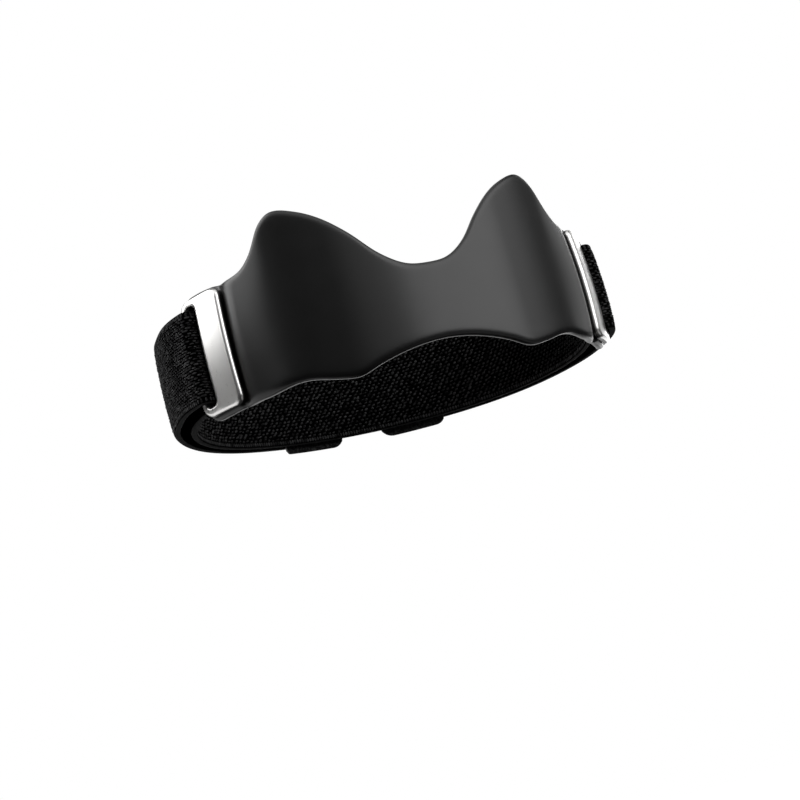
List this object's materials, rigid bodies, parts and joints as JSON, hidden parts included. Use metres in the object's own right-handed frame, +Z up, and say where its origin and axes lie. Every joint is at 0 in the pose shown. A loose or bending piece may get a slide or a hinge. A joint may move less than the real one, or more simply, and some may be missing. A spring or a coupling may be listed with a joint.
{
  "type": "patellar strap",
  "caption": "Knee strap with a moulded silicone pad that dips between raised wings, steel buckles at its ends and a knitted elastic band that folds back to hook tabs behind the leg.",
  "frame": {"origin": "on the leg's axis, at half the band's height", "axes": "+X to the viewer's right when the pad is seen from the front, +Y towards the back of the leg, +Z up the leg"},
  "size_m": [0.1258, 0.1016, 0.0482],
  "materials": {
    "silicone": "soft matte",
    "steel": "satin with bright edges",
    "knit": "knitted, matte",
    "hook_tape": "matte"
  },
  "bodies": {
    "root": {"pad": "silicone", "buckle_left": "steel", "buckle_right": "steel", "band": "knit", "tab_left": "hook_tape", "tab_right": "hook_tape"}
  },
  "joints": []
}
